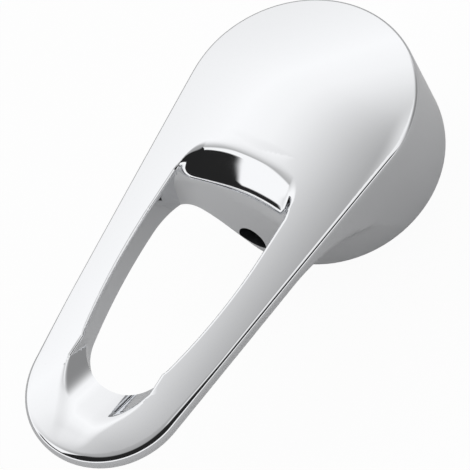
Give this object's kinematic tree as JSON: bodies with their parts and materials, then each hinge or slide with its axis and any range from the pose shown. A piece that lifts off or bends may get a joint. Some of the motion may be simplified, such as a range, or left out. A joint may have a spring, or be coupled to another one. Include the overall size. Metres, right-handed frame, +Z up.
{
  "type": "replacement tap handle",
  "caption": "Chrome-plated handle of a single-lever mixer tap: a domed head on a hollow round skirt with a square spindle socket, and an open loop lever to lift and turn.",
  "frame": {"origin": "on the skirt's axis, in the plane of its rim", "axes": "+Z up along the skirt's axis, -Y along the lever towards its tip, +X to the right looking from the tip to the head"},
  "size_m": [0.0458, 0.1035, 0.0308],
  "materials": {
    "chrome_plate": "polished chrome plate on a zinc die-casting",
    "screw_steel": "plain turned steel"
  },
  "bodies": {
    "root": {"handle_casting": "chrome_plate", "grub_screw": "screw_steel"}
  },
  "joints": []
}
